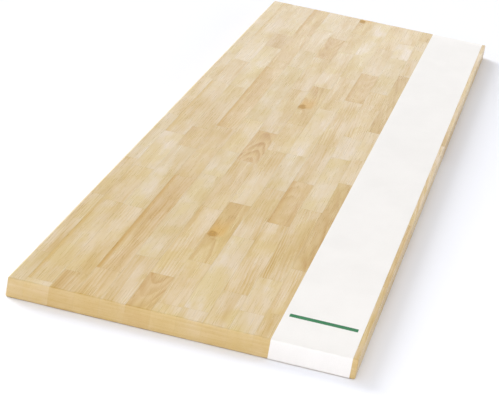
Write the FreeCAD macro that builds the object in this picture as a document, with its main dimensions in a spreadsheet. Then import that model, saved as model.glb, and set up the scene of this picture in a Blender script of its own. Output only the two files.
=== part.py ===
import FreeCAD, Part
import math
import os

import Sketcher

# Butcher block countertop: hardwood staves finger-jointed end to end into lamellas, and
# the lamellas glued side by side. Millimetres, +X along the board, +Z up, origin at the
# middle of the underside. The near end is at -X and the back edge at +Y.

SIZES = {
    "board_length": 2489.2,     # 98 inches
    "board_width": 635.0,       # 25 inches
    "board_thickness": 38.1,    # 1.5 inches
    "lamella_width": 46.5,      # all lamellas but the one ripped narrower at the back edge
    "least_rip": 20.0,          # narrowest lamella that may be left at the back edge
    "edge_radius": 3.0,         # eased arris all round the board
    "stave_repeat": 1007.0,     # the layout of the staves comes round again at this length
    "finger_length": 10.0,
    "finger_pitch": 6.35,
    "glue_line": 0.4,           # measured along the board, between two staves
    "label_width": 146.0,
    "label_margin": 10.0,       # bare wood between the label and the front edge
    "label_lift": 1.0,          # the folded ends stop this far above the underside
    "paper_thickness": 0.25,
}

# Finger joints of one repeat, as distances from the near end. One line for each lamella,
# from the back edge to the front edge.
STAVE_JOINTS = [
    (160, 525, 795),
    (25, 505, 750),
    (100, 500, 950),
    (145, 745),
    (250, 795, 985),
    (180, 590, 940),
    (50, 285, 655),
    (55, 465, 795),
    (175, 585, 880),
    (100, 280, 715),
    (120, 360, 935),
    (225, 695),
    (75, 525, 860),
    (375, 760),
]

doc = FreeCAD.newDocument("butcher_block_countertop")
sheet = doc.addObject("Spreadsheet::Sheet", "dimensions")


def jointAlias(layout, order):
    return f"layout_{layout:02d}_joint_{order}"


def fillSheet():
    cells = dict(SIZES)
    for layout, joints in enumerate(STAVE_JOINTS, 1):
        for order, distance in enumerate(joints, 1):
            cells[jointAlias(layout, order)] = distance
    for row, (alias, value) in enumerate(cells.items(), 1):
        sheet.set(f"A{row}", alias)
        sheet.set(f"B{row}", str(value))
        sheet.setAlias(f"B{row}", alias)
    doc.recompute()


def size(alias):
    return float(sheet.get(alias))


def originPart(body, role):
    return next(item for item in body.Origin.OriginFeatures if item.Role == role)


def newBody(name):
    body = doc.addObject("PartDesign::Body", name)
    body.Label = name
    body.AllowCompound = True
    return body


def newSketch(body, name, plane):
    sketch = body.newObject("Sketcher::SketchObject", name)
    sketch.AttachmentSupport = [(originPart(body, plane), "")]
    sketch.MapMode = "FlatFace"
    return sketch


def joinEnds(sketch, count):
    for edge in range(count):
        following = (edge + 1) % count
        sketch.addConstraint(Sketcher.Constraint("Coincident", edge, 2, following, 1))


def drawLoop(sketch, corners):
    # closed loop of straight edges, each corner bound to (across, up) formulas
    spots = [FreeCAD.Vector(x, y, 0) for (x, y), _ in corners]
    for start, end in zip(spots, spots[1:] + spots[:1]):
        sketch.addGeometry(Part.LineSegment(start, end))
    joinEnds(sketch, len(spots))
    for edge, (spot, (_, formulas)) in enumerate(zip(spots, corners)):
        bindPoint(sketch, edge, 1, spot, formulas)


def bindPoint(sketch, edge, end, spot, formulas):
    for kind, value, formula in zip(("DistanceX", "DistanceY"), spot, formulas):
        index = sketch.addConstraint(Sketcher.Constraint(kind, -1, 1, edge, end, value))
        sketch.setExpression(f"Constraints[{index}]", formula)


def padAcross(body, name, sketch, length):
    pad = body.newObject("PartDesign::Pad", name)
    pad.Profile = sketch
    pad.SideType = "Symmetric"
    pad.setExpression("Length", length)
    return pad


def fullLamellas():
    # the back lamella is ripped to what these leave of the width
    room = size("board_width") - size("least_rip")
    return math.floor(room / size("lamella_width"))


def lamellaWidth(number):
    if number == 1:
        return f"(dimensions.board_width - {fullLamellas()} * dimensions.lamella_width)"
    return "dimensions.lamella_width"


def lamellaFront(number):
    # distance of the lamella's front side from the board's front edge
    return f"{fullLamellas() + 1 - number} * dimensions.lamella_width"


def easedEdges(blank, isBack, isFront):
    # edges of the blank that lie on the finished board's outline
    box = blank.Shape.BoundBox
    names = []
    for index, edge in enumerate(blank.Shape.Edges, 1):
        spot = edge.BoundBox
        atEnd = spot.XLength < 1 and not box.XMin + 1 < spot.XMin < box.XMax - 1
        alongEnd = atEnd and spot.YLength > 1
        outer = isBack and spot.YMin > box.YMax - 1 or isFront and spot.YMax < box.YMin + 1
        if alongEnd or outer:
            names.append(f"Edge{index}")
    return names


def cutFingerJoints(body, layout, order):
    # one tooth of the glue line, repeated up the thickness and along the board
    teeth = max(1, round(size("board_thickness") / size("finger_pitch")))
    first = size(jointAlias(layout, order))
    room = size("board_length") - size("finger_length") - first
    repeats = math.floor(room / size("stave_repeat")) + 1
    if repeats < 1:
        return
    pitch = size("board_thickness") / teeth
    middle = first - size("board_length") / 2
    reach = size("finger_length") / 2
    line = size("glue_line")
    across = f"dimensions.{jointAlias(layout, order)} - dimensions.board_length / 2"
    root = f"{across} - dimensions.finger_length / 2"
    tip = f"{across} + dimensions.finger_length / 2"
    up = f"dimensions.board_thickness / {teeth}"
    sketch = newSketch(body, f"{body.Name}_tooth_{order}", "XZ_Plane")
    drawLoop(sketch, [
        ((middle - reach, 0), (root, "0 mm")),
        ((middle + reach, pitch / 2), (tip, f"{up} / 2")),
        ((middle - reach, pitch), (root, up)),
        ((middle - reach + line, pitch), (f"{root} + dimensions.glue_line", up)),
        ((middle + reach + line, pitch / 2), (f"{tip} + dimensions.glue_line", f"{up} / 2")),
        ((middle - reach + line, 0), (f"{root} + dimensions.glue_line", "0 mm")),
    ])
    slit = body.newObject("PartDesign::Pocket", f"{body.Name}_slit_{order}")
    slit.Profile = sketch
    slit.SideType = "Symmetric"
    slit.setExpression("Length", "2 * dimensions.board_width")
    joint = body.newObject("PartDesign::LinearPattern", f"{body.Name}_joint_{order}")
    joint.Originals = [slit]
    joint.Direction = (originPart(body, "Z_Axis"), [""])
    joint.Mode = "Spacing"
    joint.Occurrences = teeth
    joint.setExpression("Offset", up)
    joint.Direction2 = (originPart(body, "X_Axis"), [""])
    joint.Mode2 = "Spacing"
    joint.Occurrences2 = repeats
    joint.Spacings2 = [-1.0] * (repeats - 1)    # every step takes the common offset
    joint.setExpression("Offset2", "dimensions.stave_repeat")
    body.Tip = joint


def makeLamella(number, count):
    layout = (number - 1) % len(STAVE_JOINTS) + 1
    body = newBody(f"lamella_{number:02d}")
    body.setExpression(
        "Placement.Base.y", f"{lamellaFront(number)} - dimensions.board_width / 2")
    width = lamellaWidth(number)
    widthNow = size("lamella_width")
    if number == 1:
        widthNow = size("board_width") - fullLamellas() * size("lamella_width")
    thick = size("board_thickness")
    section = newSketch(body, f"{body.Name}_section", "YZ_Plane")
    drawLoop(section, [
        ((0, 0), ("0 mm", "0 mm")),
        ((widthNow, 0), (width, "0 mm")),
        ((widthNow, thick), (width, "dimensions.board_thickness")),
        ((0, thick), ("0 mm", "dimensions.board_thickness")),
    ])
    blank = padAcross(body, f"{body.Name}_blank", section, "dimensions.board_length")
    doc.recompute()
    eased = body.newObject("PartDesign::Fillet", f"{body.Name}_eased")
    eased.Base = (blank, easedEdges(blank, number == 1, number == count))
    eased.setExpression("Radius", "dimensions.edge_radius")
    body.Tip = eased
    for order in range(1, len(STAVE_JOINTS[layout - 1]) + 1):
        cutFingerJoints(body, layout, order)
    return body


def makeLabel():
    # paper strip along the top, folded down round both ends of the board
    body = newBody("label_band")
    body.setExpression("Placement.Base.y", "dimensions.label_margin"
                       " + dimensions.label_width / 2 - dimensions.board_width / 2")
    paper = size("paper_thickness")
    inner = (size("board_length") / 2, size("board_thickness"))
    outer = (inner[0] + paper, inner[1] + paper)
    innerEnd = "dimensions.board_length / 2"
    outerEnd = f"{innerEnd} + dimensions.paper_thickness"
    innerTop = "dimensions.board_thickness"
    outerTop = f"{innerTop} + dimensions.paper_thickness"
    lift = size("label_lift")
    foot = "dimensions.label_lift"
    sketch = newSketch(body, "label_band_section", "XZ_Plane")
    drawLoop(sketch, [
        ((-outer[0], lift), (f"-({outerEnd})", foot)),
        ((-outer[0], outer[1]), (f"-({outerEnd})", outerTop)),
        ((outer[0], outer[1]), (outerEnd, outerTop)),
        ((outer[0], lift), (outerEnd, foot)),
        ((inner[0], lift), (innerEnd, foot)),
        ((inner[0], inner[1]), (innerEnd, innerTop)),
        ((-inner[0], inner[1]), (f"-({innerEnd})", innerTop)),
        ((-inner[0], lift), (f"-({innerEnd})", foot)),
    ])
    strip = padAcross(body, "label_band_strip", sketch, "dimensions.label_width")
    doc.recompute()
    outside = roundFold(body, "label_band_outside", strip, outer, outerRadius())
    doc.recompute()
    roundFold(body, "label_band_inside", outside, inner, "dimensions.edge_radius")
    return body


def outerRadius():
    return "dimensions.edge_radius + dimensions.paper_thickness"


def roundFold(body, name, base, corner, radius):
    # the two folds of one side of the strip, at +X and -X
    folds = []
    for index, edge in enumerate(base.Shape.Edges, 1):
        spot = edge.BoundBox
        crosses = spot.YLength > 1 and spot.XLength + spot.ZLength < 1
        if crosses and math.hypot(abs(spot.XMin) - corner[0], spot.ZMin - corner[1]) < 0.01:
            folds.append(f"Edge{index}")
    bend = body.newObject("PartDesign::Fillet", name)
    bend.Base = (base, folds)
    bend.setExpression("Radius", radius)
    body.Tip = bend
    return bend


def checkModel(parts):
    for item in doc.Objects:
        if "Invalid" in item.State or "Error" in item.State:
            raise RuntimeError(f"{item.Name} failed: {item.State}")
    for part in parts:
        if part.Shape.isNull() or not part.Shape.isValid():
            raise RuntimeError(f"{part.Label} has no valid shape")


fillSheet()
lamellaCount = fullLamellas() + 1
parts = [makeLamella(number, lamellaCount) for number in range(1, lamellaCount + 1)]
parts.append(makeLabel())
doc.recompute()
checkModel(parts)

os.makedirs("parts", exist_ok=True)
for part in parts:
    part.Shape.exportStep(f"parts/{part.Label}.step")
    print(part.Label, len(part.Shape.Solids), "solids", round(part.Shape.Volume / 1000, 1), "cm3")
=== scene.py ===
import math
import random

import bmesh
import bpy
from mathutils import Matrix, Quaternion, Vector


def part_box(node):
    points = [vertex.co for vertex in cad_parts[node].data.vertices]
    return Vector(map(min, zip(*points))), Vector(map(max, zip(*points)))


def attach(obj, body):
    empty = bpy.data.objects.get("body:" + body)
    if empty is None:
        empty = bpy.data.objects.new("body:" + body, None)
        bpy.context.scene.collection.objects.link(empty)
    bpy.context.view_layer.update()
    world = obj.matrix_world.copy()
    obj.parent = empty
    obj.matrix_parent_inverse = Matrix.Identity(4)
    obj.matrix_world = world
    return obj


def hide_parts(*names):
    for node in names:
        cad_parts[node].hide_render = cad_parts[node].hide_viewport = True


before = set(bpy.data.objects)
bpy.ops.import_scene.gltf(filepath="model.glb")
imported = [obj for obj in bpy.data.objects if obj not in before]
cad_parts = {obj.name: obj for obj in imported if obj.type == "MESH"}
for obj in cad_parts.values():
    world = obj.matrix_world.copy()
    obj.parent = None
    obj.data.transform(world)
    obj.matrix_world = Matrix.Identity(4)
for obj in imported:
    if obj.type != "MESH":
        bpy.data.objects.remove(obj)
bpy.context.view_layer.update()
print("frame loaded,", len(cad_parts), "nodes")

# Butcher block countertop, 98 x 25 x 1.5 inches. Metres: +X along the board, near end at -X,
# back edge at +Y, underside on the floor.

board = {
    "arris": 0.003,          # rounding of every outer edge
    "arrisSteps": 5,
    "fingers": 6,            # teeth of a finger joint, through the thickness
    "fingerLength": 0.010,
    "glueLine": 0.0004,      # along the board
    "samePoint": 1e-6,       # points nearer than this are one
}
rowNames = sorted(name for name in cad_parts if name.startswith("lamella_"))
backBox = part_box(rowNames[0])
board["nearX"], board["farX"] = backBox[0].x, backBox[1].x
board["thick"] = backBox[1].z
board["pitch"] = board["thick"] / board["fingers"]


def linearColour(red, green, blue):
    # screen colour, 0 to 255, as the linear colour that shaders take
    parts = [value / 255 for value in (red, green, blue)]
    return tuple(p / 12.92 if p < 0.04045 else ((p + 0.055) / 1.055) ** 2.4 for p in parts) + (1,)


def startMaterial(name):
    material = bpy.data.materials.new(name)
    material.use_nodes = True
    tree = material.node_tree
    tree.nodes.clear()
    output = tree.nodes.new("ShaderNodeOutputMaterial")
    surface = tree.nodes.new("ShaderNodeBsdfPrincipled")
    tree.links.new(surface.outputs[0], output.inputs[0])
    return material, tree, surface


def feed(tree, socket, value):
    # value is the output of another node, or a plain number, vector or colour
    if isinstance(value, bpy.types.NodeSocket):
        tree.links.new(value, socket)
    else:
        socket.default_value = value


def newNode(tree, kind, *values):
    # a node with its first inputs fed
    node = tree.nodes.new(kind)
    for socket, value in zip(node.inputs, values):
        feed(tree, socket, value)
    return node


def calc(tree, operation, *values):
    node = newNode(tree, "ShaderNodeMath", *values)
    node.operation = operation
    return node.outputs[0]


def vectorCalc(tree, operation, *values):
    node = newNode(tree, "ShaderNodeVectorMath", *values)
    node.operation = operation
    return node.outputs[0]


def split(tree, vector):
    return newNode(tree, "ShaderNodeSeparateXYZ", vector).outputs


def gather(tree, x, y, z):
    return newNode(tree, "ShaderNodeCombineXYZ", x, y, z).outputs[0]


def distance(tree, first, second):
    # from nought to the point with these two coordinates
    squares = [calc(tree, "POWER", part, 2.0) for part in (first, second)]
    return calc(tree, "SQRT", calc(tree, "ADD", *squares))


def ramp(tree, value, start, end, low=0.0, high=1.0):
    # smooth rise from low to high while value goes from start to end
    node = newNode(tree, "ShaderNodeMapRange", value, start, end, low, high)
    node.interpolation_type = "SMOOTHSTEP"
    return node.outputs[0]


def grainNoise(tree, place, stretch, detail, roughness=0.5):
    node = newNode(tree, "ShaderNodeTexNoise", vectorCalc(tree, "MULTIPLY", place, stretch))
    node.inputs["Scale"].default_value = 1.0
    node.inputs["Detail"].default_value = detail
    node.inputs["Roughness"].default_value = roughness
    return node.outputs[0]


def centred(tree, noise):
    # noise from 0 to 1, brought to either side of nought
    return calc(tree, "SUBTRACT", noise, 0.5)


def mixColours(tree, amount, first, second, blend="MIX"):
    node = tree.nodes.new("ShaderNodeMix")
    node.data_type = "RGBA"
    node.blend_type = blend
    feed(tree, node.inputs[0], amount)
    feed(tree, node.inputs[6], first)       # sockets for colours come after those for numbers
    feed(tree, node.inputs[7], second)
    return node.outputs[2]


def blendOf(tree, amount, first, second):
    # from one screen colour to another
    return mixColours(tree, amount, linearColour(*first), linearColour(*second))


def shaded(tree, colour, brightness):
    grey = gather(tree, brightness, brightness, brightness)
    return mixColours(tree, 1.0, colour, grey, "MULTIPLY")


def addRelief(tree, surface, height, strength, depth):
    relief = tree.nodes.new("ShaderNodeBump")
    relief.inputs["Strength"].default_value = strength
    relief.inputs["Distance"].default_value = depth
    feed(tree, relief.inputs["Height"], height)
    feed(tree, surface.inputs["Normal"], relief.outputs[0])


def ownValue(tree, name, output="Vector"):
    node = tree.nodes.new("ShaderNodeAttribute")
    node.attribute_name = name
    return node.outputs[output]


def objectPlace(tree):
    return tree.nodes.new("ShaderNodeTexCoord").outputs["Object"]


def facingX(tree):
    # 1 on the far end of the board, -1 on the near end
    return split(tree, tree.nodes.new("ShaderNodeNewGeometry").outputs["True Normal"])[0]


def newObject(name, data):
    item = bpy.data.objects.new(name, data)
    bpy.context.scene.collection.objects.link(item)
    return item


def meshData(name, mesh):
    data = bpy.data.meshes.new(name)
    mesh.to_mesh(data)
    mesh.free()
    return data


# Hardwood: early and late are the pale and the dark wood of a year's growth, gap the spacing of
# the rings in metres, line how strongly they show. pith is how far the heart of the tree lies
# from the stave (across, up), and rise how it climbs along the stave, which draws the arched
# figure. edge is the strength of a dark back side, and knot lies (along, in from the back side).
woods = {
    "straw": {"early": (210, 191, 162), "late": (184, 146, 50), "gap": 0.0029, "line": 0.42,
              "pith": (0.070, -0.110), "rise": 0.010},
    "strawFine": {"early": (212, 193, 165), "late": (184, 146, 47), "gap": 0.0030, "line": 0.90,
                  "pith": (0.045, -0.055), "rise": 0.020},
    "strawEdged": {"early": (211, 193, 167), "late": (185, 148, 55), "gap": 0.0030, "line": 0.45,
                   "pith": (-0.080, -0.090), "rise": 0.012, "edge": 0.8},
    "pale": {"early": (210, 193, 168), "late": (186, 153, 68), "gap": 0.0033, "line": 0.34,
             "pith": (0.100, -0.060), "rise": 0.006},
    "cream": {"early": (214, 198, 180), "late": (193, 163, 92), "gap": 0.0036, "line": 0.28,
              "pith": (-0.110, -0.050), "rise": 0.005},
    "honey": {"early": (206, 183, 144), "late": (178, 136, 26), "gap": 0.0028, "line": 0.50,
              "pith": (0.040, -0.090), "rise": 0.014},
    "tan": {"early": (203, 179, 138), "late": (175, 132, 20), "gap": 0.0029, "line": 0.50,
            "pith": (-0.050, -0.080), "rise": 0.016},
    "tanEdged": {"early": (209, 186, 147), "late": (178, 134, 17), "gap": 0.0030, "line": 0.50,
                 "pith": (-0.060, -0.070), "rise": 0.012, "edge": 1.0},
    "tanArched": {"early": (205, 178, 131), "late": (175, 129, 2), "gap": 0.0040, "line": 0.80,
                  "pith": (0.004, -0.036), "rise": 0.060, "edge": 0.75},
    "brown": {"early": (203, 176, 128), "late": (172, 124, 2), "gap": 0.0038, "line": 0.75,
              "pith": (-0.005, -0.034), "rise": 0.055},
    "amber": {"early": (203, 179, 126), "late": (174, 129, 2), "gap": 0.0032, "line": 0.60,
              "pith": (0.020, -0.060), "rise": 0.024},
    "amberKnot": {"early": (203, 179, 126), "late": (174, 129, 2), "gap": 0.0032, "line": 0.60,
                  "pith": (0.018, -0.058), "rise": 0.024, "knot": (0.158, 0.009)},
}

# One line a lamella, from the back edge to the front: the wood of each stave, from the first joint
# on. The layout comes round again along the board, and so do the woods.
rowWoods = [
    ("strawEdged", "straw", "pale"),
    ("strawEdged", "straw", "cream"),
    ("straw", "pale", "tan"),
    ("tanEdged", "honey"),
    ("pale", "pale", "straw"),
    ("straw", "strawFine", "brown"),
    ("straw", "amberKnot", "straw"),
    ("cream", "straw", "pale"),
    ("strawFine", "tanArched", "straw"),
    ("cream", "strawFine", "pale"),
    ("straw", "amber", "straw"),
    ("strawFine", "honey"),
    ("pale", "straw", "tan"),
    ("honey", "strawFine"),
]

# Noises that draw the wood: how fine each is along and across the stave, detail, roughness.
grain = {
    "bow": ((3.5, 22, 22), 2.0),
    "sway": ((1.6, 3, 3), 1.0),
    "waver": ((9, 60, 60), 2.0),
    "years": ((1, 1, 1), 1.0),
    "patch": ((3.0, 24, 24), 2.0),
    "broad": ((3.6, 32, 32), 2.0, 0.55),
    "streak": ((4.0, 130, 130), 3.0, 0.6),
    "fibre": ((9, 520, 520), 3.0, 0.6),
    "hair": ((26, 1700, 1700), 2.0, 0.6),
    "pores": ((60, 2300, 2300), 1.0),
    "cloud": ((8, 19, 19), 3.0, 0.6),
    "knotRim": ((62, 78, 78), 1.0),
    "sawMarks": ((60, 9, 260), 3.0, 0.65),
}

# How the wood looks. Four numbers are a ramp: from, to, and what it gives at each. Two numbers
# are a ramp that gives 0 and 1.
finish = {
    "seedApart": (1.0, 1.7, -2.3),      # moves the noises from one stave to the next
    # rings
    "bow": 0.007,                       # how far they wander, metres
    "sway": 0.022,                      # and more slowly
    "waver": 0.9,                       # and in rings
    "lateRise": (0.15, 0.85),           # shares of a year in which a ring darkens
    "lateFall": (0.88, 1.0, 1.0, 0.0),  # and pales again
    "yearStep": 0.45,                   # how fast one year differs from the next
    "years": (0.30, 0.70, 0.25, 1.0),   # strength of a year, by its noise
    "patch": (0.40, 0.66, 0.18, 1.0),
    # streaks and fibres: the noise from, to, and how much darker it makes the wood
    "broad": (0.36, 0.72, 0.46),
    "streak": (0.38, 0.72, 0.17),
    "fibre": (0.42, 0.72, 0.17),
    "hairMiddle": 0.38,
    "hairDark": 0.18,
    "pores": (0.66, 0.76),
    "poreDark": 0.14,
    # clouds of colour, broader than a stave
    "cloud": (0.32, 0.68),
    "warmCloud": (242, 235, 188),
    "paleCloud": (252, 252, 252),
    # dark streak along the back side of an edged stave
    "edgeStreak": (0.001, 0.012, 1.0, 0.0),
    "edgeRagged": 0.012,
    "edgeMix": 0.95,
    # knot
    "knotBrown": (180, 136, 22),
    "knotDark": (150, 103, 0),
    "knotRing": 0.0020,                 # spacing of its rings
    "knotLines": (-0.6, 0.9),           # where its rings turn from brown to dark
    "knotLong": 0.5,                    # its width as a share of its length
    "knotBow": 0.006,
    "knotRadius": (0.006, 0.0115, 1.0, 0.0),    # where its rim fades
    "knotRagged": 0.014,                # how far its rim wanders
    "knotMix": 0.92,
    "knotRough": 0.16,                  # how much rougher its end grain is
    "swell": 0.006,                     # how far the rings lift round it
    "swellRadius": (0.0, 0.020, 1.0, 0.0),
    # amber wood trailing off behind the knot
    "knotAmber": (193, 145, 6),
    "trailStart": (-0.020, 0.010),      # metres along the board from the knot
    "trailEnd": (0.020, 0.120, 1.0, 0.0),
    "trailAside": 0.008,                # how far its middle lies towards the front edge
    "trailWidth": (0.008, 0.022, 1.0, 0.0),
    "trailMix": 0.72,
    # brightness beside a glued side, by the distance from it
    "seam": (0.0, 0.0007, 0.80, 1.0),
    # the board's sawn ends
    "endLight": (207, 181, 131),
    "endDark": (199, 170, 113),
    "sawMarks": (0.34, 0.66),
    "endEven": (0.5, 0.95, 0.0, 0.72),  # by how squarely a face looks along the board
    # surface
    "roughness": (0.2, 0.8, 0.24, 0.38),
    "reliefStrength": 0.5,
    "reliefDepth": 0.00012,
    "fibreHeight": 0.5,
    "ringHeight": 0.35,
    "hairHeight": 0.35,
    "poreDepth": 0.6,
}


def staveSockets(tree):
    # where in its stave a point is, and what the stave's own attributes say of its wood
    place = objectPlace(tree)
    seed, rise, line = split(tree, ownValue(tree, "grainHabit"))
    pithY, pithZ, gap = split(tree, ownValue(tree, "pithSpot"))
    sideLow, sideHigh, edge = split(tree, ownValue(tree, "gluedSides"))
    knotX, knotY, knotHere = split(tree, ownValue(tree, "knotSpot"))
    x, y, z = split(tree, vectorCalc(tree, "SUBTRACT", place, ownValue(tree, "staveCentre")))
    boardX, boardY, _ = split(tree, place)
    apart = vectorCalc(tree, "MULTIPLY", gather(tree, seed, seed, seed), finish["seedApart"])
    return {
        "place": place, "own": vectorCalc(tree, "ADD", place, apart), "x": x, "y": y, "z": z,
        "seed": seed, "rise": rise, "line": line, "pithY": pithY, "pithZ": pithZ, "gap": gap,
        "fromFront": calc(tree, "SUBTRACT", y, sideLow),
        "fromBack": calc(tree, "SUBTRACT", sideHigh, y), "edge": edge,
        "knotHere": knotHere, "knotX": calc(tree, "SUBTRACT", boardX, knotX),
        "knotY": calc(tree, "SUBTRACT", boardY, knotY),
        "early": ownValue(tree, "earlyWood", "Color"), "late": ownValue(tree, "lateWood", "Color"),
    }


def growthRings(tree, stave, bow, fromKnot):
    # rings round a pith line that wanders and climbs along the stave
    own = stave["own"]
    sway = centred(tree, grainNoise(tree, own, *grain["sway"]))
    bent = calc(tree, "MULTIPLY_ADD", bow, finish["bow"], stave["y"])
    fromY = calc(tree, "SUBTRACT", bent, stave["pithY"])
    fromY = calc(tree, "MULTIPLY_ADD", sway, finish["sway"], fromY)
    climbing = calc(tree, "MULTIPLY_ADD", stave["x"], stave["rise"], stave["z"])
    fromZ = calc(tree, "SUBTRACT", climbing, stave["pithZ"])
    # the rings lift round the knot
    lift = ramp(tree, fromKnot, *finish["swellRadius"])
    lift = calc(tree, "MULTIPLY", lift, stave["knotHere"])
    fromZ = calc(tree, "MULTIPLY_ADD", lift, finish["swell"], fromZ)
    turns = calc(tree, "DIVIDE", distance(tree, fromY, fromZ), stave["gap"])
    waver = grainNoise(tree, own, *grain["waver"])
    turns = calc(tree, "MULTIPLY_ADD", waver, finish["waver"], turns)
    year = calc(tree, "FRACT", turns)
    ring = calc(tree, "MULTIPLY", ramp(tree, year, *finish["lateRise"]),
                ramp(tree, year, *finish["lateFall"]))
    # some years and some patches show more than others
    years = gather(tree, calc(tree, "MULTIPLY", turns, finish["yearStep"]), stave["seed"], 0.0)
    strength = ramp(tree, grainNoise(tree, years, *grain["years"]), *finish["years"])
    patch = ramp(tree, grainNoise(tree, own, *grain["patch"]), *finish["patch"])
    return calc(tree, "MULTIPLY", ring, calc(tree, "MULTIPLY", strength, patch))


def woodColour(tree, stave, ring, layers):
    # from the early wood to the late wood by rings, streaks, fibres and pores
    dark = calc(tree, "MULTIPLY", ring, stave["line"])
    for name in ("broad", "streak", "fibre"):
        start, end, amount = finish[name]
        dark = calc(tree, "MULTIPLY_ADD", ramp(tree, layers[name], start, end), amount, dark)
    hair = calc(tree, "SUBTRACT", layers["hair"], finish["hairMiddle"])
    dark = calc(tree, "MULTIPLY_ADD", hair, finish["hairDark"], dark)
    dark = calc(tree, "MULTIPLY_ADD", layers["pores"], finish["poreDark"], dark)
    colour = mixColours(tree, dark, stave["early"], stave["late"])
    cloud = ramp(tree, grainNoise(tree, stave["own"], *grain["cloud"]), *finish["cloud"])
    tint = blendOf(tree, cloud, finish["warmCloud"], finish["paleCloud"])
    colour = mixColours(tree, 1.0, colour, tint, "MULTIPLY")
    # a darker streak of heartwood that some staves have along their back side
    streak = centred(tree, layers["streak"])
    ragged = calc(tree, "MULTIPLY_ADD", streak, finish["edgeRagged"], stave["fromBack"])
    heart = calc(tree, "MULTIPLY", ramp(tree, ragged, *finish["edgeStreak"]), stave["edge"])
    return mixColours(tree, calc(tree, "MULTIPLY", heart, finish["edgeMix"]), colour,
                      stave["late"])


def addAmber(tree, stave, colour):
    # amber wood that trails off behind the knot
    along = stave["knotX"]
    trail = calc(tree, "MULTIPLY", ramp(tree, along, *finish["trailStart"]),
                 ramp(tree, along, *finish["trailEnd"]))
    aside = calc(tree, "ABSOLUTE", calc(tree, "ADD", stave["knotY"], finish["trailAside"]))
    trail = calc(tree, "MULTIPLY", trail, ramp(tree, aside, *finish["trailWidth"]))
    trail = calc(tree, "MULTIPLY", trail, stave["knotHere"])
    return mixColours(tree, calc(tree, "MULTIPLY", trail, finish["trailMix"]), colour,
                      linearColour(*finish["knotAmber"]))


def addKnot(tree, stave, colour, fromKnot):
    # gives back how much of the knot a point has, too
    rim = centred(tree, grainNoise(tree, stave["own"], *grain["knotRim"]))
    rim = calc(tree, "MULTIPLY_ADD", rim, finish["knotRagged"], fromKnot)
    knot = calc(tree, "MULTIPLY", ramp(tree, rim, *finish["knotRadius"]), stave["knotHere"])
    rings = calc(tree, "SINE", calc(tree, "MULTIPLY", rim, math.tau / finish["knotRing"]))
    tone = blendOf(tree, ramp(tree, rings, *finish["knotLines"]), finish["knotBrown"],
                   finish["knotDark"])
    amount = calc(tree, "MULTIPLY", knot, finish["knotMix"])
    return mixColours(tree, amount, colour, tone), knot


def evenEnds(tree, place, colour):
    # the sanded ends are evener, with faint saw marks from back to front
    sawMarks = ramp(tree, grainNoise(tree, place, *grain["sawMarks"]), *finish["sawMarks"])
    tone = blendOf(tree, sawMarks, finish["endLight"], finish["endDark"])
    onEnd = ramp(tree, calc(tree, "ABSOLUTE", facingX(tree)), *finish["endEven"])
    return mixColours(tree, onEnd, colour, tone)


def woodHeight(tree, ring, layers):
    rings = calc(tree, "MULTIPLY", ring, finish["ringHeight"])
    height = calc(tree, "MULTIPLY_ADD", layers["fibre"], finish["fibreHeight"], rings)
    height = calc(tree, "MULTIPLY_ADD", layers["hair"], finish["hairHeight"], height)
    return calc(tree, "SUBTRACT", height,
                calc(tree, "MULTIPLY", layers["pores"], finish["poreDepth"]))


def hardwoodMaterial():
    material, tree, surface = startMaterial("sanded_hardwood")
    stave = staveSockets(tree)
    layers = {name: grainNoise(tree, stave["own"], *grain[name])
              for name in ("broad", "streak", "fibre", "hair", "pores")}
    layers["pores"] = ramp(tree, layers["pores"], *finish["pores"])
    bow = centred(tree, grainNoise(tree, stave["own"], *grain["bow"]))
    knotLength = calc(tree, "MULTIPLY", stave["knotX"], finish["knotLong"])
    fromKnot = distance(tree, knotLength, stave["knotY"])
    fromKnot = calc(tree, "MULTIPLY_ADD", bow, finish["knotBow"], fromKnot)

    ring = growthRings(tree, stave, bow, fromKnot)
    colour = woodColour(tree, stave, ring, layers)
    colour = addAmber(tree, stave, colour)
    colour, knot = addKnot(tree, stave, colour, fromKnot)
    # a hair-thin darker line where two lamellas are glued
    fromSide = calc(tree, "MINIMUM", stave["fromBack"], stave["fromFront"])
    colour = shaded(tree, colour, ramp(tree, fromSide, *finish["seam"]))
    colour = evenEnds(tree, stave["place"], colour)

    feed(tree, surface.inputs["Base Color"], colour)
    rough = ramp(tree, layers["fibre"], *finish["roughness"])
    feed(tree, surface.inputs["Roughness"],
         calc(tree, "MULTIPLY_ADD", knot, finish["knotRough"], rough))
    addRelief(tree, surface, woodHeight(tree, ring, layers), finish["reliefStrength"],
              finish["reliefDepth"])
    return material


# Staves
staves = {
    "seed": (17, 5, 3),       # added for each lamella, for each stave, and to begin with
    "seedShift": 0.37,        # how far one seed moves the noises
    "spread": 0.018,          # how much one stave differs from the next of the same wood
    "faraway": 1.0,           # puts the glue line of an outer side out of reach
    "flat": 0.9999,           # a face is flat where its normal lies this near an axis
}
vectorAttributes = ("staveCentre", "pithSpot", "grainHabit", "gluedSides", "knotSpot")
colourAttributes = ("earlyWood", "lateWood")


def staveSpans(name):
    # x range of each separate solid of a lamella, from the near end to the far end
    solids = bmesh.new()
    solids.from_mesh(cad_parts[name].data)
    bmesh.ops.remove_doubles(solids, verts=solids.verts, dist=board["samePoint"])
    left = set(solids.verts)
    spans = []
    while left:
        front = [left.pop()]
        low = high = front[0].co.x
        while front:
            corner = front.pop()
            low, high = min(low, corner.co.x), max(high, corner.co.x)
            for edge in corner.link_edges:
                other = edge.other_vert(corner)
                if other in left:
                    left.remove(other)
                    front.append(other)
        spans.append((low, high))
    solids.free()
    return sorted(spans)


def jointCentres(spans):
    return [(here[1] + following[0] - board["glueLine"]) / 2
            for here, following in zip(spans, spans[1:])]


def fingerShift(height):
    # how far the finger joint stands from its centre at this height
    share = (height / board["pitch"]) % 1
    return board["fingerLength"] * (1 - abs(2 * share - 1) - 0.5)


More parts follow.
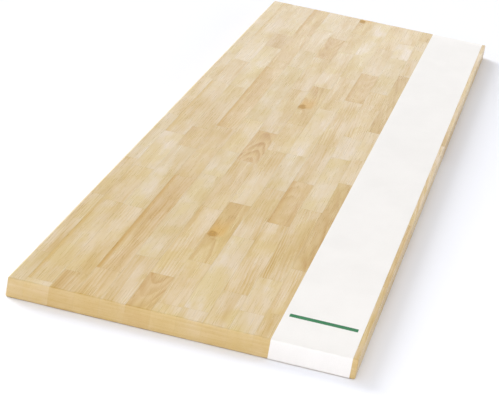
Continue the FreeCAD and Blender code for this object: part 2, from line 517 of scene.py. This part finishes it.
def sideChain(edgeY, inward, isOuter, inset):
    # points (y, z) up one long side of a stave, drawn in by inset at the board's ends
    arris, thick, steps = board["arris"], board["thick"], board["arrisSteps"]
    levels = [thick * k / (2 * board["fingers"]) for k in range(1, 2 * board["fingers"])]
    if not isOuter:
        return [(edgeY, inset)] + [(edgeY, level) for level in levels] + [(edgeY, thick - inset)]
    turn = []
    for step in range(steps + 1):
        angle = math.pi / 2 * (1 - step / steps)
        radius = arris - inset
        turn.append((edgeY + inward * (arris - radius * math.cos(angle)),
                     arris - radius * math.sin(angle)))
    upper = [(y, thick - z) for y, z in reversed(turn)]
    return turn + [(edgeY + inward * inset, level) for level in levels] + upper


def staveStations(start, end):
    # (inset of the section, x at a height) from the near end of the stave to its far end
    arris, steps = board["arris"], board["arrisSteps"]
    turns = [math.pi / 2 * step / steps for step in range(steps + 1)]
    rounding = [(arris * (1 - math.sin(turn)), arris * (1 - math.cos(turn))) for turn in turns]
    stations = []
    if start is None:
        stations += [(inset, lambda z, dx=dx: board["nearX"] + dx) for inset, dx in rounding]
    else:
        stations.append((0.0, lambda z: start + fingerShift(z) + board["glueLine"]))
    if end is None:
        stations += [(inset, lambda z, dx=dx: board["farX"] - dx)
                     for inset, dx in reversed(rounding)]
    else:
        stations.append((0.0, lambda z: end + fingerShift(z)))
    return stations


def levelMarks(isOuter):
    # which points of a side chain stand at the ends and at the finger levels
    steps, levels = board["arrisSteps"], 2 * board["fingers"]
    first = steps + 1 if isOuter else 1
    last = first + levels - 1 + (steps if isOuter else 0)
    return [0] + [first + k for k in range(levels - 1)] + [last]


def capStrips(chainLow, chainHigh, isOuterLow, isOuterHigh):
    # rows of section points between one finger level and the next
    lowMarks, highMarks = levelMarks(isOuterLow), levelMarks(isOuterHigh)
    strips = []
    for k in range(len(lowMarks) - 1):
        low = chainLow[lowMarks[k]:lowMarks[k + 1] + 1]
        high = chainHigh[highMarks[k]:highMarks[k + 1] + 1]
        strips.append(low + high[::-1])
    return strips


def addStave(mesh, start, end, lowY, highY, isFront, isBack):
    # start and end are the centres of its finger joints, or None at the board's own end.
    # Gives back the points of the stave.
    onJoint = mesh.faces.layers.int["joint"]
    rings = []
    for inset, xAt in staveStations(start, end):
        low = [mesh.verts.new((xAt(z), y, z)) for y, z in sideChain(lowY, 1, isFront, inset)]
        high = [mesh.verts.new((xAt(z), y, z)) for y, z in sideChain(highY, -1, isBack, inset)]
        rings.append((low, high))
    for (lowA, highA), (lowB, highB) in zip(rings, rings[1:]):
        ringA, ringB = lowA + highA[::-1], lowB + highB[::-1]
        for k in range(len(ringA)):
            n = (k + 1) % len(ringA)
            mesh.faces.new((ringA[k], ringA[n], ringB[n], ringB[k]))
    for (low, high), isJoint in ((rings[0], start is not None), (rings[-1], end is not None)):
        for strip in capStrips(low, high, isFront, isBack):
            mesh.faces.new(strip)[onJoint] = isJoint
    return [corner for low, high in rings for corner in low + high]


def staveValues(wood, seed, span, lowY, highY, isFront, isBack):
    # what the hardwood reads at every point of the stave
    half = (highY - lowY) / 2
    sideLow = -staves["faraway"] if isFront else -half
    sideHigh = staves["faraway"] if isBack else half
    knotX, knotIn = wood.get("knot", (0.0, 0.0))
    isTurned = seed % 2 == 0 and "knot" not in wood     # every other stave lies the other way
    lean = -1 if isTurned else 1
    chance = random.Random(seed)
    brighter = 1 + staves["spread"] * chance.uniform(-1, 1)
    bluer = brighter * (1 + staves["spread"] * chance.uniform(-1, 1))
    spread = (brighter, brighter, bluer, 1)
    return {
        "staveCentre": ((span[0] + span[1]) / 2, (lowY + highY) / 2, board["thick"] / 2),
        "pithSpot": (lean * wood["pith"][0], wood["pith"][1], wood["gap"]),
        "grainHabit": (seed * staves["seedShift"], lean * wood["rise"], wood["line"]),
        "gluedSides": (sideLow, sideHigh, wood.get("edge", 0.0)),
        "knotSpot": (span[0] + knotX, highY - knotIn, 1.0 if "knot" in wood else 0.0),
        "earlyWood": [part * share for part, share in zip(linearColour(*wood["early"]), spread)],
        "lateWood": [part * share for part, share in zip(linearColour(*wood["late"]), spread)],
    }


def smoothRounding(mesh):
    # only the rounding is smooth, not the flats or the fingers
    onJoint = mesh.faces.layers.int["joint"]
    rounded = set()
    for face in mesh.faces:
        face.smooth = True
        if not face[onJoint] and max(abs(part) for part in face.normal) < staves["flat"]:
            rounded.add(face)
    for edge in mesh.edges:
        edge.smooth = rounded.issuperset(edge.link_faces)


def makeRow(number, name, hardwood):
    isBack, isFront = number == 0, number == len(rowNames) - 1
    low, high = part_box(name)
    joints = jointCentres(staveSpans(name))
    pattern = rowWoods[number % len(rowWoods)]
    perRow, perStave, first = staves["seed"]
    mesh = bmesh.new()
    ownStave = mesh.verts.layers.int.new("stave")
    onJoint = mesh.faces.layers.int.new("joint")
    made = []
    for index, (start, end) in enumerate(zip([None] + joints, joints + [None])):
        for corner in addStave(mesh, start, end, low.y, high.y, isFront, isBack):
            corner[ownStave] = index
        span = (board["nearX"] if start is None else start, board["farX"] if end is None else end)
        wood = woods[pattern[(index - 1) % len(pattern)]]
        seed = number * perRow + index * perStave + first
        made.append(staveValues(wood, seed, span, low.y, high.y, isFront, isBack))
    bmesh.ops.remove_doubles(mesh, verts=mesh.verts, dist=board["samePoint"])
    bmesh.ops.recalc_face_normals(mesh, faces=mesh.faces)
    smoothRounding(mesh)
    values = [made[corner[ownStave]] for corner in mesh.verts]
    mesh.verts.layers.int.remove(ownStave)
    mesh.faces.layers.int.remove(onJoint)
    data = meshData(f"stave_row_{number + 1:02d}", mesh)
    for key in vectorAttributes:
        layer = data.attributes.new(key, "FLOAT_VECTOR", "POINT")
        layer.data.foreach_set("vector", [part for value in values for part in value[key]])
    for key in colourAttributes:
        layer = data.attributes.new(key, "FLOAT_COLOR", "POINT")
        layer.data.foreach_set("color", [part for value in values for part in value[key]])
    data.materials.append(hardwood)
    row = newObject(data.name, data)
    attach(row, "root")
    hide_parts(name)
    return joints


hardwood = hardwoodMaterial()
rowJoints = [makeRow(number, name, hardwood) for number, name in enumerate(rowNames)]
print("stave rows built,", sum(len(joints) + 1 for joints in rowJoints), "staves")

# Glue lines
glue = {
    "width": 0.00036,         # a little less than the gap it fills
    "recess": 0.00006,        # below the sanded faces
    "outmost": 0.97,          # points past this share of the half thickness clear the arris
    "colour": (176, 138, 88),
    "shade": (150, 112, 66),
    "cloud": ((180, 180, 180), 2.0),
    "contrast": (0.3, 0.7),
    "roughness": (0.2, 0.8, 0.35, 0.6),
    "reliefStrength": 0.3,
    "reliefDepth": 0.0002,
}


def glueMaterial():
    material, tree, surface = startMaterial("dried_glue")
    cloud = grainNoise(tree, objectPlace(tree), *glue["cloud"])
    feed(tree, surface.inputs["Base Color"],
         blendOf(tree, ramp(tree, cloud, *glue["contrast"]), glue["colour"], glue["shade"]))
    feed(tree, surface.inputs["Roughness"], ramp(tree, cloud, *glue["roughness"]))
    addRelief(tree, surface, cloud, glue["reliefStrength"], glue["reliefDepth"])
    return material


def negative(tree, value):
    return calc(tree, "MULTIPLY", value, -1.0)


def glueSheet(tree, given):
    # a thin block, cut into levels, whose points are moved into the zigzag of the fingers
    block = tree.nodes.new("GeometryNodeMeshCube")
    feed(tree, block.inputs["Size"],
         gather(tree, given["Line"], given["Width"], given["Thickness"]))
    block.inputs["Vertices X"].default_value = 2
    block.inputs["Vertices Y"].default_value = 2
    feed(tree, block.inputs["Vertices Z"], given["Levels"])

    x, y, z = split(tree, tree.nodes.new("GeometryNodeInputPosition").outputs[0])
    halfThick = calc(tree, "MULTIPLY", given["Thickness"], 0.5)
    limit = calc(tree, "SUBTRACT", halfThick, given["Recess"])
    level = calc(tree, "MAXIMUM", calc(tree, "MINIMUM", z, limit), negative(tree, limit))
    height = calc(tree, "ADD", level, halfThick)
    share = calc(tree, "FRACT", calc(tree, "DIVIDE", height, given["Pitch"]))
    fold = calc(tree, "ABSOLUTE", calc(tree, "MULTIPLY_ADD", share, 2.0, -1.0))
    tooth = calc(tree, "SUBTRACT", 0.5, fold)
    shiftX = calc(tree, "MULTIPLY_ADD", tooth, given["Finger Length"], x)
    # the sheet keeps inside the rounded arris of an outer lamella
    outmost = calc(tree, "GREATER_THAN", calc(tree, "ABSOLUTE", z),
                   calc(tree, "MULTIPLY", halfThick, glue["outmost"]))
    backArris = calc(tree, "MULTIPLY", calc(tree, "GREATER_THAN", y, 0.0),
                     negative(tree, given["Back Arris"]))
    arris = calc(tree, "MULTIPLY_ADD", calc(tree, "LESS_THAN", y, 0.0), given["Front Arris"],
                 backArris)
    inset = calc(tree, "MULTIPLY_ADD", calc(tree, "SIGN", y), negative(tree, given["Recess"]), y)
    shiftY = calc(tree, "MULTIPLY_ADD", outmost, arris, inset)
    shape = tree.nodes.new("GeometryNodeSetPosition")
    feed(tree, shape.inputs["Geometry"], block.outputs["Mesh"])
    feed(tree, shape.inputs["Position"], gather(tree, shiftX, shiftY, height))
    return shape.outputs[0]


def glueTree(material):
    # a zigzag sheet of glue at each point of the carrier mesh
    tree = bpy.data.node_groups.new("finger_joint_glue", "GeometryNodeTree")
    tree.interface.new_socket("Joints", in_out="INPUT", socket_type="NodeSocketGeometry")
    for name in ("Width", "Thickness", "Line", "Pitch", "Finger Length", "Recess",
                 "Front Arris", "Back Arris"):
        tree.interface.new_socket(name, in_out="INPUT", socket_type="NodeSocketFloat")
    tree.interface.new_socket("Levels", in_out="INPUT", socket_type="NodeSocketInt")
    tree.interface.new_socket("Glue", in_out="OUTPUT", socket_type="NodeSocketGeometry")
    given = tree.nodes.new("NodeGroupInput").outputs
    copies = tree.nodes.new("GeometryNodeInstanceOnPoints")
    feed(tree, copies.inputs["Points"], given["Joints"])
    feed(tree, copies.inputs["Instance"], glueSheet(tree, given))
    real = newNode(tree, "GeometryNodeRealizeInstances", copies.outputs[0])
    painted = newNode(tree, "GeometryNodeSetMaterial", real.outputs[0])
    painted.inputs["Material"].default_value = material
    newNode(tree, "NodeGroupOutput", painted.outputs[0])
    return tree


def setInputs(modifier, values):
    for item in modifier.node_group.interface.items_tree:
        if item.item_type == "SOCKET" and item.in_out == "INPUT" and item.name in values:
            modifier[item.identifier] = values[item.name]


def glueOfRow(tree, number, joints):
    low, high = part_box(rowNames[number])
    middleY = (low.y + high.y) / 2
    points = bpy.data.meshes.new("joint_points")
    points.from_pydata([(centre + board["glueLine"] / 2, middleY, 0) for centre in joints], [], [])
    carrier = newObject("joint_points", points)
    modifier = carrier.modifiers.new("glue", "NODES")
    modifier.node_group = tree
    setInputs(modifier, {
        "Width": high.y - low.y,
        "Thickness": board["thick"],
        "Line": glue["width"],
        "Pitch": board["pitch"],
        "Finger Length": board["fingerLength"],
        "Recess": glue["recess"],
        "Front Arris": board["arris"] if number == len(rowNames) - 1 else 0.0,
        "Back Arris": board["arris"] if number == 0 else 0.0,
        "Levels": 2 * board["fingers"] + 1,
    })
    graph = bpy.context.evaluated_depsgraph_get()
    made = bpy.data.meshes.new_from_object(carrier.evaluated_get(graph))
    bpy.data.objects.remove(carrier)
    return made


def makeGlueLines():
    material = glueMaterial()
    tree = glueTree(material)
    whole = bmesh.new()
    for number, joints in enumerate(rowJoints):
        whole.from_mesh(glueOfRow(tree, number, joints))
    for face in whole.faces:
        face.smooth = False
        face.material_index = 0
    data = meshData("glue_lines", whole)
    data.materials.append(material)
    lines = newObject("glue_lines", data)
    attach(lines, "root")


makeGlueLines()
print("glue lines laid")

# Paper label
label = {
    "lift": 0.001,            # how far the folded ends stop above the underside
    "paper": 0.00016,         # its thickness
    "clear": 0.00012,         # from the wood to the middle of the paper
    "ripple": 0.00003,        # height of two trains of waves that cross
    "waves": ((31, 17, 0.0), (5, 43, 1.3)),     # radians a metre along, across, at the start
    "alongStep": 0.025,       # size of the mesh's faces on the top
    "acrossSteps": 24,
    "foldSteps": 6,
    "bendSteps": 8,
    "crease": 40,             # degrees past which an edge is sharp
    "ruleFromEnd": 0.1265,    # plain green rule near the near end
    "ruleThick": 0.0150,
    "ruleMargin": 0.0100,
    "white": {"light": (227, 224, 221), "dark": (222, 219, 216), "shine": 0.5},
    "green": {"light": (28, 108, 64), "dark": (36, 116, 72), "shine": 0.1},
    "fibre": ((900, 900, 900), 3.0, 0.6),
    "cloud": ((9, 14, 14), 2.0),
    "contrast": (0.35, 0.65),
    "roughness": (0.2, 0.8, 0.30, 0.42),
    # the folds: facing from, to, and the brightness at each. The near fold is lighter, a painted
    # highlight; the far fold is darker, painted shade.
    "nearFoldHighlight": (-1.0, -0.1, 1.07, 1.0),
    "farFoldShade": (0.1, 1.0, 1.0, 0.78),
    "reliefStrength": 0.4,
    "reliefDepth": 0.0003,
    "cloudHeight": 3.0,
    "fibreHeight": 0.15,
}


def paperMaterial(name, ink):
    material, tree, surface = startMaterial(name)
    place = objectPlace(tree)
    fibre = grainNoise(tree, place, *label["fibre"])
    cloud = grainNoise(tree, place, *label["cloud"])
    amount = calc(tree, "MULTIPLY_ADD", fibre, 0.5, calc(tree, "MULTIPLY", cloud, 0.5))
    colour = blendOf(tree, ramp(tree, amount, *label["contrast"]), ink["light"], ink["dark"])
    facing = facingX(tree)
    # painted highlight on the near fold and painted shade on the far fold, chosen by which way the
    # paper faces
    foldHighlightAndShade = calc(tree, "MULTIPLY", ramp(tree, facing, *label["nearFoldHighlight"]),
                ramp(tree, facing, *label["farFoldShade"]))
    feed(tree, surface.inputs["Base Color"], shaded(tree, colour, foldHighlightAndShade))
    feed(tree, surface.inputs["Roughness"], ramp(tree, fibre, *label["roughness"]))
    surface.inputs["Specular IOR Level"].default_value = ink["shine"]
    height = calc(tree, "MULTIPLY_ADD", cloud, label["cloudHeight"],
                  calc(tree, "MULTIPLY", fibre, label["fibreHeight"]))
    addRelief(tree, surface, height, label["reliefStrength"], label["reliefDepth"])
    return material


def foldedPath():
    # (x, z, normal x, normal z) along the middle of the paper, from one folded end to the other
    half = label["clear"]
    arris, thick = board["arris"], board["thick"]
    nearX, farX, radius = board["nearX"], board["farX"], arris + half
    turnNear, turnFar, turnZ = nearX + arris, farX - arris, thick - arris
    folds, bends, step = label["foldSteps"], label["bendSteps"], label["alongStep"]
    drop = [label["lift"] + (turnZ - label["lift"]) * k / folds for k in range(folds)]
    bend = [(math.sin(angle), math.cos(angle))
            for angle in (math.pi / 2 * k / bends for k in range(bends + 1))]
    flat = {round(turnNear + step * k, 6) for k in range(1, int((turnFar - turnNear) / step))}
    ruleX = nearX + label["ruleFromEnd"]
    flat |= {ruleX - label["ruleThick"] / 2, ruleX + label["ruleThick"] / 2}
    path = [(nearX - half, z, -1.0, 0.0) for z in drop]
    path += [(turnNear - radius * out, turnZ + radius * up, -out, up)
             for up, out in bend]
    path += [(x, thick + half, 0.0, 1.0) for x in sorted(flat)]
    path += [(turnFar + radius * out, turnZ + radius * up, out, up)
             for out, up in bend]
    path += [(farX + half, z, 1.0, 0.0) for z in reversed(drop)]
    return path


def rippleHeight(x, y):
    first, second = [math.sin(x * along + y * across + start)
                     for along, across, start in label["waves"]]
    return label["ripple"] * first * second


def paperSheet(mesh, path, across, side):
    # one face of the paper, as rows of points: side is 1 outside, -1 on the wood
    rows = []
    for x, z, outX, outZ in path:
        lifts = [side * label["paper"] / 2 + rippleHeight(x, y) * outZ for y in across]
        rows.append([mesh.verts.new((x + outX * lift, y, z + outZ * lift))
                     for y, lift in zip(across, lifts)])
    return rows


def joinSheets(mesh, outer, inner):
    # faces of both sides and all round the rim. Gives back the outer ones.
    made = []

    def addFace(*corners):
        return mesh.faces.new(corners)

    end, last = len(outer) - 1, len(outer[0]) - 1
    for i in range(end):
        for j in range(last):
            made.append(addFace(outer[i][j], outer[i + 1][j], outer[i + 1][j + 1],
                                outer[i][j + 1]))
            addFace(inner[i][j], inner[i][j + 1], inner[i + 1][j + 1], inner[i + 1][j])
        addFace(outer[i][0], inner[i][0], inner[i + 1][0], outer[i + 1][0])
        addFace(outer[i][last], outer[i + 1][last], inner[i + 1][last], inner[i][last])
    for j in range(last):
        addFace(outer[0][j], outer[0][j + 1], inner[0][j + 1], inner[0][j])
        addFace(outer[end][j], inner[end][j], inner[end][j + 1], outer[end][j + 1])
    return made


def makeLabel():
    low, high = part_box("label_band")
    lowRule, highRule = low.y + label["ruleMargin"], high.y - label["ruleMargin"]
    steps = label["acrossSteps"]
    edges = {low.y + (high.y - low.y) * k / steps for k in range(steps + 1)}
    across = sorted(edges | {lowRule, highRule})
    path = foldedPath()
    mesh = bmesh.new()
    outer, inner = [paperSheet(mesh, path, across, side) for side in (1, -1)]
    ruleX = board["nearX"] + label["ruleFromEnd"]
    for face in joinSheets(mesh, outer, inner):
        centre = face.calc_center_median()
        isInRule = (abs(centre.x - ruleX) < label["ruleThick"] / 2
                    and lowRule < centre.y < highRule)
        face.material_index = 1 if isInRule else 0
    bmesh.ops.recalc_face_normals(mesh, faces=mesh.faces)
    for edge in mesh.edges:
        edge.smooth = edge.calc_face_angle(0.0) < math.radians(label["crease"])
    for face in mesh.faces:
        face.smooth = True
    data = meshData("paper_label", mesh)
    data.materials.append(paperMaterial("label_paper_white", label["white"]))
    data.materials.append(paperMaterial("printed_green", label["green"]))
    sheet = newObject("paper_label", data)
    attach(sheet, "root")
    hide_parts("label_band")


makeLabel()
print("paper label folded")

# Floor, lights and camera
studio = {
    "floorSize": 60.0,
    "floorDrop": 0.0003,                # below the board's underside
    "floorColour": (243, 244, 250),
    "wall": 0.22,                       # brightness of the white studio's walls
    "horizon": 2.05,                    # brightness of a band round the horizon
    "horizonFade": (0.20, 0.44),        # heights between which it fades
    "overhead": 0.88,                   # brightness of the ceiling
    "overheadRise": (0.50, 0.85),
    "keyStrength": 2.55,
    "keyFrom": (0.58, 0.80, 0.44),      # towards the key light, beyond the back edge
    "keySoftness": 38.0,                # degrees
    "fillPower": 15.0,
    "fillPlace": (-2.9, -0.3, 1.6),     # a soft panel before the near end
    "fillLooksAt": (-1.2, 0.0, 0.0),
    "fillSize": 1.6,
}


def turnTo(item, direction, axis):
    # turns the axis of a light or camera to a direction
    item.rotation_mode = "QUATERNION"
    item.rotation_quaternion = Vector(direction).to_track_quat(axis, "Y")


def makeFloor():
    mesh = bmesh.new()
    bmesh.ops.create_grid(mesh, x_segments=4, y_segments=4, size=studio["floorSize"] / 2)
    data = meshData("studio_floor", mesh)
    data.transform(Matrix.Translation((0, 0, -studio["floorDrop"])))
    material, _, surface = startMaterial("pale_floor")
    surface.inputs["Base Color"].default_value = linearColour(*studio["floorColour"])
    surface.inputs["Roughness"].default_value = 1.0
    surface.inputs["Specular IOR Level"].default_value = 0.0
    data.materials.append(material)
    floor = newObject("studio_floor", data)


def makeSun():
    lamp = bpy.data.lights.new("key_light", "SUN")
    lamp.energy = studio["keyStrength"]
    lamp.angle = math.radians(studio["keySoftness"])
    sun = newObject("key_light", lamp)
    turnTo(sun, studio["keyFrom"], "Z")
    sun.visible_glossy = False              # no mirror image of the lamp on the board


def makePanel():
    lamp = bpy.data.lights.new("fill_light", "AREA")
    lamp.energy = studio["fillPower"]
    lamp.size = studio["fillSize"]
    panel = newObject("fill_light", lamp)
    panel.location = studio["fillPlace"]
    turnTo(panel, Vector(studio["fillLooksAt"]) - Vector(studio["fillPlace"]), "-Z")
    panel.visible_camera = False


def makeSky():
    world = bpy.data.worlds.new("white_studio")
    world.use_nodes = True
    tree = world.node_tree
    background = tree.nodes["Background"]
    background.inputs[0].default_value = (1, 1, 1, 1)
    upward = split(tree, tree.nodes.new("ShaderNodeTexCoord").outputs["Generated"])[2]
    band = ramp(tree, upward, *studio["horizonFade"], studio["horizon"], studio["wall"])
    ceiling = ramp(tree, upward, *studio["overheadRise"], 0.0, studio["overhead"] - studio["wall"])
    feed(tree, background.inputs[1], calc(tree, "ADD", band, ceiling))
    bpy.context.scene.world = world


view = {
    "place": (-4.3320, -0.5413, 1.3503),    # fitted to the corners of the board
    "looksAt": (-0.5561, 0.0198, 0.0381),
    "roll": 10.03,                          # degrees
    "lens": 140.70,                         # millimetres
    "sensor": 36.0,
    "clip": (0.1, 100.0),
}


def makeCamera():
    data = bpy.data.cameras.new("camera")
    data.lens = view["lens"]
    data.sensor_width = view["sensor"]
    data.clip_start, data.clip_end = view["clip"]
    camera = newObject("camera", data)
    camera.location = view["place"]
    turnTo(camera, Vector(view["looksAt"]) - Vector(view["place"]), "-Z")
    camera.rotation_quaternion @= Quaternion((0, 0, 1), math.radians(view["roll"]))
    bpy.context.scene.camera = camera


makeFloor()
makeSky()
makeSun()
makePanel()
makeCamera()
bpy.context.scene.view_settings.view_transform = "Standard"
print("floor, lights and camera set")
